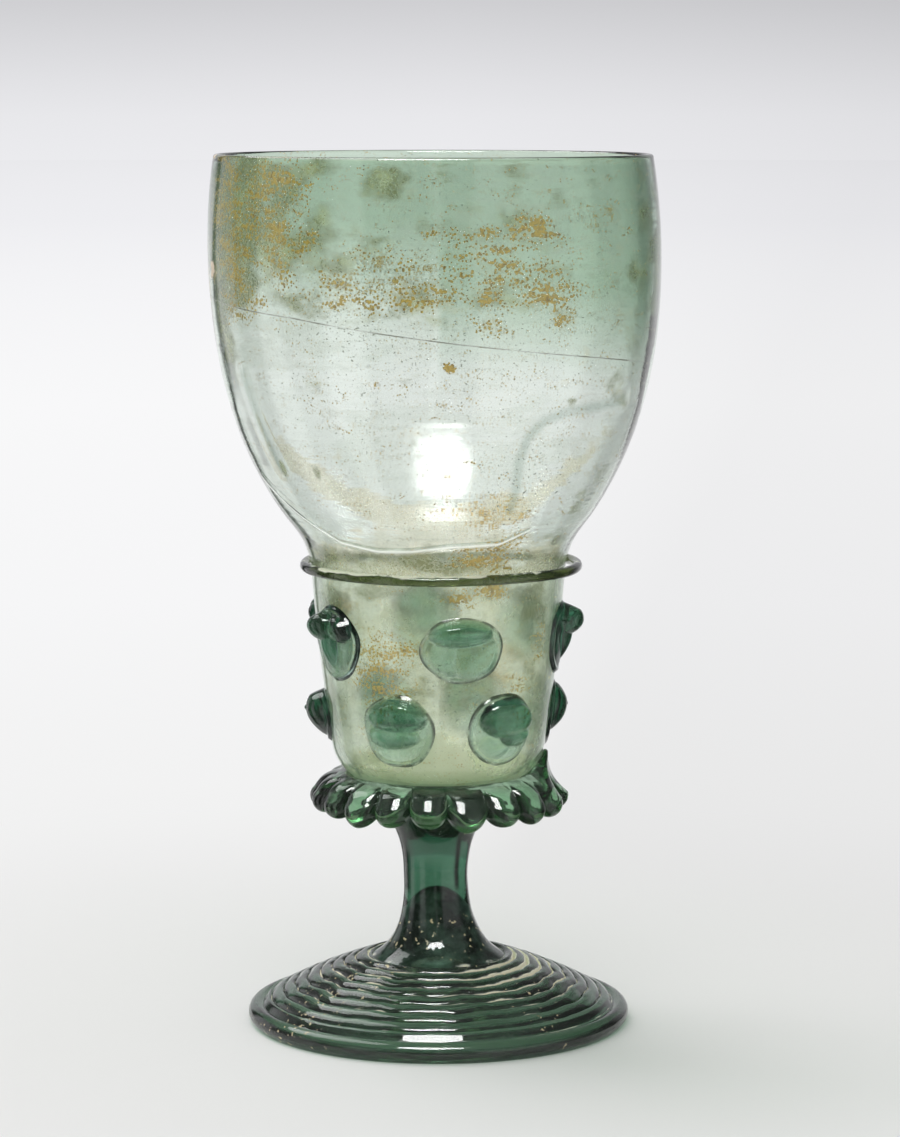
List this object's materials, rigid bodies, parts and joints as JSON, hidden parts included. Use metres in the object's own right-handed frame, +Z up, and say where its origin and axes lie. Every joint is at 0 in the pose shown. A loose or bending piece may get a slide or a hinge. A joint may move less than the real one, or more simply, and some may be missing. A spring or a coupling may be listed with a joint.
{
  "type": "stemmed glass",
  "caption": "Stemmed wine glass in green forest glass: blown bowl on a hollow shaft set with drawn prunts, pinched collar, waisted stem and a foot wound from one thread.",
  "frame": {"origin": "centre of the plane that the foot rests on, under the axis of the bowl", "axes": "+Z up along the stem; -Y is the front that the picture shows, +X to its right"},
  "size_m": [0.0772, 0.0772, 0.15],
  "materials": {
    "bowl_glass": "blown, smooth and glossy, with a weathered film and ochre crust in places",
    "shaft_glass": "blown, glossy, clouded by a weathered film inside",
    "thread_glass": "drawn thread, glossy",
    "prunt_glass": "drawn gathers, fire-polished",
    "collar_glass": "pinched thread, fire-polished",
    "stem_glass": "tooled, fire-polished",
    "foot_glass": "wound thread, glossy, with pale deposit in the grooves"
  },
  "bodies": {
    "root": {"bowl": "bowl_glass", "prunted_shaft": "shaft_glass", "neck_thread": "thread_glass", "pinched_collar": "collar_glass", "stem": "stem_glass", "spun_foot": "foot_glass", "upper_prunt_1": "prunt_glass", "upper_prunt_2": "prunt_glass", "upper_prunt_3": "prunt_glass", "upper_prunt_4": "prunt_glass", "upper_prunt_5": "prunt_glass", "upper_prunt_6": "prunt_glass", "lower_prunt_1": "prunt_glass", "lower_prunt_2": "prunt_glass", "lower_prunt_3": "prunt_glass", "lower_prunt_4": "prunt_glass", "lower_prunt_5": "prunt_glass", "lower_prunt_6": "prunt_glass"}
  },
  "joints": []
}
